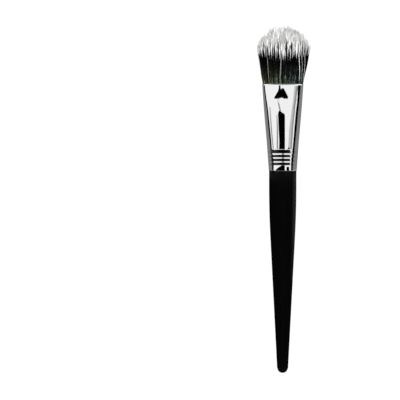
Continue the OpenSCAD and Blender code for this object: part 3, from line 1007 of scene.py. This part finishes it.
# %% [markdown]
# Soft lamps light the hair: a large one overhead, and a low one beyond the tips, which reaches into
# the dome of the tuft. Both are kept out of reflections, because they would draw grey
# bands along the lacquer.

# %% The lamps
def softbox(name, size, spot, target, watts):
    """A white rectangular lamp at a spot, turned toward its target."""
    lamp = bpy.data.lights.new(name, "AREA")
    lamp.shape = "RECTANGLE"
    lamp.size, lamp.size_y = size
    lamp.energy = watts
    box = bpy.data.objects.new(name, lamp)
    box.location = spot
    box.rotation_euler = (Vector(target) - Vector(spot)).to_track_quat("-Z", "Y").to_euler()
    box.visible_camera = False
    box.visible_glossy = False
    bpy.context.scene.collection.objects.link(box)
    print(name, watts, "W")


tuft_middle = place([0, FERRULE_LEN + TUFT_LEN / 2, 0])
softbox("overhead", (1.6, 1.6), (0, 0.1, 1.5), tuft_middle, 66)
softbox("beyond_tips", (0.8, 0.4), (0.1, 0.9, 0.45), tuft_middle, 7)

# %% [markdown]
# The ferrule mirrors the room, so its room is a tube of cloth that only mirrors see, with dark
# patches sewn inside it. A patch is cut from the image that it has to give. Its edges are drawn on
# the ferrule, and from each point there the camera's line of sight is bounced off until it
# meets the tube.

# %% Helper: where the ferrule's mirror points
TUBE_R, TUBE_LOW, TUBE_HIGH, TUBE_STRIPS, TUBE_BANDS = 28.0, -4.0, 47.0, 40, 8
NUDGE = 0.005


def ferrule_top(x, s):
    """Height of the ferrule's upper side over its middle plane."""
    share = np.clip(abs(x) / ferrule_half_w(s), 0, 1)
    return ferrule_half_d(s) * (1 - share ** ferrule_square(s)) ** (1 / ferrule_square(s))


eye_in_brush = directions @ (np.array(camera.location) - np.array(ferrule_foot)) / MM


def in_tube(x, s, tube_r):
    """Where the line of sight goes on to from the ferrule at (x, s), on a tube round the brush."""
    up = ferrule_top(x, s)
    steep_x = (ferrule_top(x + NUDGE, s) - ferrule_top(x - NUDGE, s)) / (2 * NUDGE)
    steep_s = (ferrule_top(x, s + NUDGE) - ferrule_top(x, s - NUDGE)) / (2 * NUDGE)
    normal = np.array([-steep_x, -steep_s, 1.0])
    normal = normal / np.linalg.norm(normal)
    spot = np.array([x, s, up], float)
    sight = (spot - eye_in_brush) / np.linalg.norm(spot - eye_in_brush)
    way = sight - 2 * sight.dot(normal) * normal
    flat_spot, flat_way = spot[[0, 2]], way[[0, 2]]
    squared, linear = flat_way @ flat_way, flat_spot @ flat_way
    constant = flat_spot @ flat_spot - tube_r**2
    reach = (-linear + math.sqrt(linear * linear - squared * constant)) / squared
    return spot + way * reach


# %% Helper: patches and cards that only mirrors see
PATCH_STEP, PATCH_STRIPS, FERRULE_EDGE = 0.4, 8, 0.9985
sewn = []


def only_in_mirrors(card):
    """Hides a card from the camera and from every light path but a mirror's."""
    card.visible_camera = False
    card.visible_diffuse = False
    card.visible_shadow = False
    card.visible_transmission = False


def grid_faces(rows, columns):
    """The faces of a sheet with so many rows and columns of squares."""
    first = (np.arange(rows)[:, None] * (columns + 1) + np.arange(columns)).ravel()
    return np.stack([first, first + 1, first + columns + 2, first + columns + 1], 1)


def patch(name, rows, material, layer):
    """A patch whose image on the ferrule has these rows (s, left x, right x)."""
    rows = np.array(rows, float)
    steps = max(2, round((rows[-1, 0] - rows[0, 0]) / PATCH_STEP))
    s_values = np.linspace(rows[0, 0], rows[-1, 0], steps + 1)
    left = np.interp(s_values, rows[:, 0], rows[:, 1])
    right = np.interp(s_values, rows[:, 0], rows[:, 2])
    points = []
    for s, x0, x1 in zip(s_values, left, right):
        edge = FERRULE_EDGE * ferrule_half_w(s)
        across_row = np.linspace(max(x0, -edge), min(x1, edge), PATCH_STRIPS + 1)
        points += [in_tube(x, s, TUBE_R - layer) for x in across_row]
    only_in_mirrors(stage_piece(name, place(points), grid_faces(steps, PATCH_STRIPS), material))
    sewn.append(name)


def mirror_card(name, corners, glow):
    """A flat card for mirrors, with corners (x, s, height over the table) in millimetres."""
    points = [(x * MM, place([0, s, 0])[1], high * MM) for x, s, high in corners]
    only_in_mirrors(stage_piece(name, points, [(0, 1, 2, 3)], stage_finish(name, glow)))


# %% [markdown]
# The tube is white over the top and grey below, like a light tent that stands on a table. Its ends
# are open, and from the side the ferrule would mirror the dark room through them. So two
# far walls stand across the brush's line, a dim one behind the butt and a bright one beyond the
# tips. The portrait hardly shows them, because only the crimps and the lip turn that far.

# %% The tube of cloth
white_cloth = stage_finish("white_cloth", 0.93)
grey_cloth = stage_finish("grey_cloth", 0.22)
black_cloth = stage_finish("black_cloth", 0.0)


def tube_part(name, from_degrees, to_degrees, material):
    """Part of the tube, with angles counted from the right-hand side over the top."""
    turn = np.radians(np.linspace(from_degrees, to_degrees, TUBE_STRIPS + 1))
    s = np.linspace(TUBE_LOW, TUBE_HIGH, TUBE_BANDS + 1)[:, None]
    points = np.stack([TUBE_R * np.cos(turn) + 0 * s, s + 0 * turn, TUBE_R * np.sin(turn) + 0 * s], 2)
    faces = grid_faces(TUBE_BANDS, TUBE_STRIPS)
    only_in_mirrors(stage_piece(name, place(points.reshape(-1, 3)), faces, material))


tube_part("tube_above", -12, 192, white_cloth)
tube_part("tube_below", 192, 348, grey_cloth)

# %% The end walls
WALL_FAR, WALL_HALF = 450, 1500


def end_wall(name, s, high, glow):
    """A card that stands across the brush's line, far off."""
    low_edge = [(-WALL_HALF, s, 0), (WALL_HALF, s, 0)]
    mirror_card(name, low_edge + [(WALL_HALF, s, high), (-WALL_HALF, s, high)], glow)
    print(name, high, "mm high")


end_wall("wall_behind_butt", -WALL_FAR, 380, 0.3)
end_wall("wall_beyond_tips", WALL_FAR, 900, 0.8)

# %% [markdown]
# The patches follow the portrait. Each flank shows a grey strip with a black line inside it, and
# a few fainter shades and threads lie beside the lines. A patch that lies over another
# is a little further inside the tube, because two sheets in one place would flicker.

# %% The flanks' patches
# How many millimetres inside the tube each layer of cloth lies
FLANKS, LINES, SHADES, SMUDGES, MIDDLE_SHADE, BARS, OVER_BARS = 0.5, 0.6, 0.7, 0.8, 0.9, 1.0, 1.2
left_line = [
    # s, left x, right x
    (0.2, -5.65, -4.78),
    (4.0, -5.65, -4.78),
    (7.7, -6.12, -5.38),
    (11.0, -6.42, -5.72),
    (16.0, -6.86, -6.1),
    (21.4, -7.45, -6.66),
    (30.4, -8.27, -7.56),
    (34.5, -8.74, -8.1),
    (38.0, -9.25, -8.66),
    (42.2, -9.75, -9.2),
    (44.8, -10.0, -9.4),
]
right_line = [
    (0.2, 4.1, 5.1),
    (3.7, 4.1, 5.15),
    (7.0, 4.3, 5.5),
    (11.0, 4.9, 5.95),
    (21.4, 5.8, 7.0),
    (30.4, 6.62, 7.83),
    (34.0, 7.12, 8.22),
    (38.0, 7.46, 8.6),
    (42.2, 7.56, 8.98),
    (44.8, 7.65, 9.2),
]
patch("left_line", left_line, black_cloth, LINES)
patch("right_line", right_line, black_cloth, LINES)
patch("left_flank", [(s, -12, inner) for s, inner, _ in left_line], grey_cloth, FLANKS)
patch("right_flank", [(s, inner, 12) for s, _, inner in right_line], grey_cloth, FLANKS)
light_shade = stage_finish("light_shade", 0.55)
soft_shade = stage_finish("soft_shade", 0.30)
right_haze = [(10.8, 2.6, 3.8), (21.4, 3.1, 4.3), (36, 5.1, 5.9), (44, 6.0, 6.8)]
right_smudge = [(32.0, 5.3, 5.7), (34.6, 5.75, 6.25), (36.4, 6.4, 6.9), (37.4, 6.8, 7.15)]
soft_shapes = {
    "right_shade": [(10.8, 3.8, 4.5), (21.4, 4.3, 5.15), (36, 5.9, 6.7), (44, 6.8, 7.8)],
    "left_thread": [(10.8, -5.25, -4.75), (21.4, -6.3, -5.7), (33, -7.0, -6.6)],
    "middle_thread": [(10.8, -3.3, -2.5), (21.4, -3.25, -2.55), (29, -3.4, -3.0)],
}
patch("right_haze", right_haze, light_shade, SHADES)
patch("right_smudge", right_smudge, grey_cloth, SMUDGES)
for name, rows in soft_shapes.items():
    patch(name, rows, soft_shade, SHADES)
print("sewn in:", *sewn)

# %% [markdown]
# In the middle stand a black bar and, nearer the mouth, a dark arrowhead, which are what the
# opening for the lens looks like in a surface that is round below and flat above. The black
# marks at the foot are what the handle's end of the tube shows.

# %% The middle's patches
bar = [
    # s, left x, right x
    (10.3, -2.1, 0.9),
    (14.0, -1.98, 0.95),
    (16.0, -2.0, 0.95),
    (20.0, -2.2, 0.95),
    (24.0, -2.42, 0.95),
    (26.5, -2.5, 0.98),
    (28.6, -2.6, 0.95),
    (29.4, -2.62, 0.8),
    (29.95, -2.55, 0.3),
    (30.1, -2.5, -0.6),
    (30.6, -2.3, -1.0),
    (31.2, -2.1, -1.5),
]
arrowhead = [(37.4, -4.6, 2.4), (38.0, -4.55, 2.6), (38.6, -4.3, 2.5)]
arrowhead += [(41.2, -2.7, 1.2), (42.1, -2.4, 0.7)]
black_shapes = {
    "bar": bar,
    "arrowhead": arrowhead,
    "left_peak": [(42.1, -2.45, -1.2), (42.9, -2.3, -1.3), (45, -2.15, -1.45)],
    "right_peak": [(42.1, -1.1, 0.7), (42.8, -0.8, 0.35)],
    "foot_blob": [(0.1, -4.1, 1.0), (1.2, -3.3, 0.9), (2.2, -1.9, 0.9), (2.9, -0.8, 0.9)],
    "foot_bar": [(0.1, 1.8, 3.25), (2.2, 1.8, 3.15)],
    "crimp_tooth": [(10.8, 2.1, 4.0), (12.3, 2.75, 3.15)],
}
diagonal = [(31.0, -1.8, -1.0), (32.5, -2.2, -1.4), (34.6, -2.65, -1.95), (36.6, -3.1, -2.45)]
arrow_notch = [(36.8, -2.9, 1.2), (37.4, -2.2, 0.4), (37.8, -1.4, -0.3)]
crimp_shade = [(2.9, -0.7, 0.6), (9.4, -0.7, 0.6)]
for name, rows in black_shapes.items():
    patch(name, rows, black_cloth, BARS)
patch("diagonal", diagonal, soft_shade, BARS)
patch("arrow_notch", arrow_notch, white_cloth, OVER_BARS)
patch("crimp_shade", crimp_shade, soft_shade, MIDDLE_SHADE)
print("patches in all:", len(sewn))

# %% [markdown]
# The lacquer mirrors the room too, but only faintly. A white sheet lies at the handle's
# right, darker close by, and gives the right edge its soft grey line, which fades
# toward the butt.

# %% The handle's sheet
def ground_sheet(name, x0, x1, s0, s1, glow):
    """A sheet beside the handle, just under the table's surface."""
    corners = [(x0, s0), (x1, s0), (x1, s1), (x0, s1)]
    mirror_card(name, [(x, s, SHEET_HIGH) for x, s in corners], glow)


SHEET_HIGH, NEAR, MIDWAY, FAR = -0.2, 7.5, 22, 250
HANDLE_TOP, FADES_AT, FADED_AT = -1, -38, -58
ground_sheet("near_sheet", NEAR, MIDWAY, FADES_AT, HANDLE_TOP, 0.26)
ground_sheet("far_sheet", MIDWAY, FAR, FADES_AT, HANDLE_TOP, 0.7)
ground_sheet("near_fading", NEAR, MIDWAY, FADED_AT, FADES_AT, 0.13)
ground_sheet("far_fading", MIDWAY, FAR, FADED_AT, FADES_AT, 0.35)
print("the sheet reaches", FAR, "mm out")
